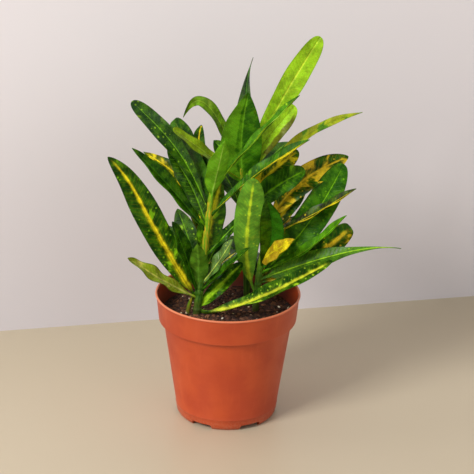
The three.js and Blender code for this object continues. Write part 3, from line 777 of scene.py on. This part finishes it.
# ---------------------------------------------------------------- Middle stem and its leaves
# The tallest cutting, rooted in the same mix behind the other two. It carries the youngest, lime-coloured
# leaves at its top, and darker ones, some with broad yellow ribs, lower down and at the back.
middle_stem = dict(foot=(14, 13), top=(7.5, 6, 190), bow=(1, 1), radius=2.6)
middle_leaves = [
    leaf(170, (12, -14, 251), "veined", sway=2.9, wide=30, turn=180, fold=8, widest=0.4, taper=1.6,
         body=srgb(44, 100, 10), marks=srgb(94, 150, 24), rib=2.4, half=-0.8, vein=0.4),
    leaf(187, (15, 26, 263), "dark", sway=-1.5, peak=0.75, wide=15.5, turn=10, fold=30, widest=0.34,
         taper=3, marks=GREY, body=srgb(40, 64, 34), gloss=0.4),
    leaf(186, (62, 28, 278.5), "lime", arch=0.9, peak=0.62, wide=17.6, turn=75, fold=10, widest=0.68,
         taper=1.35, marks=srgb(184, 212, 48), rib=1.6, patch=0.05, edge=0.3),
    leaf(180, (45, 7, 234), "lime", arch=2, wide=17, turn=70, widest=0.62, taper=0.95, half=0.5, begin=0.35,
         marks=srgb(96, 104, 18), flecks=LIME, rib=0, patch=0.1, edge=0.3),
    leaf(176, (91, -16, 238), "yellow", arch=5.8, peak=0.66, wide=9, turn=45, widest=0.45, taper=1.6,
         body=srgb(152, 160, 28), marks=srgb(70, 116, 20), patch=0.34, rib=0, edge=0.3),
    leaf(184, (-33.5, 12, 222.5), "veined", arch=4, hang=36, wide=9.5, turn=-40, widest=0.48, taper=1.3,
         body=srgb(90, 128, 18), marks=srgb(128, 156, 44), rib=0.4, edge=0.8),
    leaf(178, (-40, -14, 223), "bright", arch=0, wide=9.5, turn=-50, taper=0.8, body=srgb(134, 162, 24),
         marks=srgb(160, 184, 50), rib=0.6, edge=0.5),
    leaf(172, (-12, 22, 202), "dark", wide=15, turn=-40, taper=1.8),
    leaf(158, (48.5, 24, 194.5), "mottled", wide=17, turn=60, taper=1.1, marks=YELLOW, rib=3, patch=0.35),
    leaf(150, (53, -4, 190), "veined", wide=19, turn=60, taper=0.9, body=srgb(30, 80, 8)),
    leaf(170, (10, 76, 200), "golden_rib", arch=6, wide=20),
    leaf(160, (42, 66, 186), "dark", arch=6),
    leaf(150, (-18, 66, 176), "dark", arch=6, wide=20),
    leaf(140, (30, 84, 168), "golden_rib", arch=8),
    leaf(125, (14, 82, 146), "dark", arch=9, wide=16),
    leaf(105, (-14, 62, 108), "dark", arch=9),
]
grow_cutting("middle_cutting", "croton_stem_middle", middle_stem, middle_leaves, 31)

# ---------------------------------------------------------------- Right stem and its leaves
# The shortest cutting, rooted beside the middle one, with broad dark leaves that spread to the right and a
# small golden leaf in front. Two of its leaves stand almost upright before it.
right_stem = dict(foot=(20, 3), top=(28, 0, 152), bow=(-1, 0), radius=2.5)
right_leaves = [
    leaf(146, (84, 14, 194.5), "mottled", arch=8.5, wide=19, turn=55, patch=0.45),
    leaf(106, (80.5, 2, 193), "dark", arch=-5.5, wide=23.5, turn=70, widest=0.58, taper=1, speckle=0.25,
         body=srgb(38, 92, 10)),
    leaf(137, (89, -12, 180), "dark", arch=-2, wide=10, turn=20, fold=25, half=0.4, marks=YELLOW, rib=0.3,
         body=srgb(40, 54, 24)),
    leaf(108, (82.5, -18, 162), "veined", arch=-5, wide=10, turn=30, fold=30),
    leaf(100, (87, 0, 146), "golden_rib", arch=-5, wide=17, turn=60, widest=0.7, taper=0.8, marks=GOLD,
         rib=5.5),
    leaf(103, (121.5, -24, 140), "grey", arch=2.4, hang=7, wide=17, turn=65, twist=-40, widest=0.26,
         taper=3, rib=0.6, body=srgb(62, 108, 22), gloss=0.15),
    leaf(92, (17, -22, 190), "grey", sway=7.3, peak=0.33, wide=21, fold=8, widest=0.6, taper=1.2,
         body=srgb(90, 146, 42), marks=srgb(188, 214, 44)),
    leaf(116, (46, -26, 146.5), "yellow", arch=1.5, peak=0.3, wide=14, turn=65, fold=5, widest=0.3,
         taper=1.1, body=srgb(190, 156, 32)),
    # One half of this leaf is painted a brighter green than the other, as painted light on the half that
    # faces the lamp.
    leaf(106, (26, -20, 174), "dark", sway=-7, wide=20, turn=170, fold=30, half=1, rib=0.6,
         marks=srgb(44, 100, 12)),
    leaf(97, (34, 14, 129), "mottled", arch=2, wide=12, turn=60),
    leaf(135, (54, 6, 171), "golden_rib", arch=2, wide=12, turn=60),
    leaf(135, (66, 58, 168), "golden_rib", arch=7),
    leaf(120, (68, 46, 138), "mottled", arch=7),
    leaf(112, (46, 70, 122), "dark", arch=9),
    leaf(100, (62, 52, 112), "golden_rib", arch=8, wide=16),
    leaf(95, (28, 60, 98), "dark", arch=9, wide=16),
]
grow_cutting("right_cutting", "croton_stem_right", right_stem, right_leaves, 61)
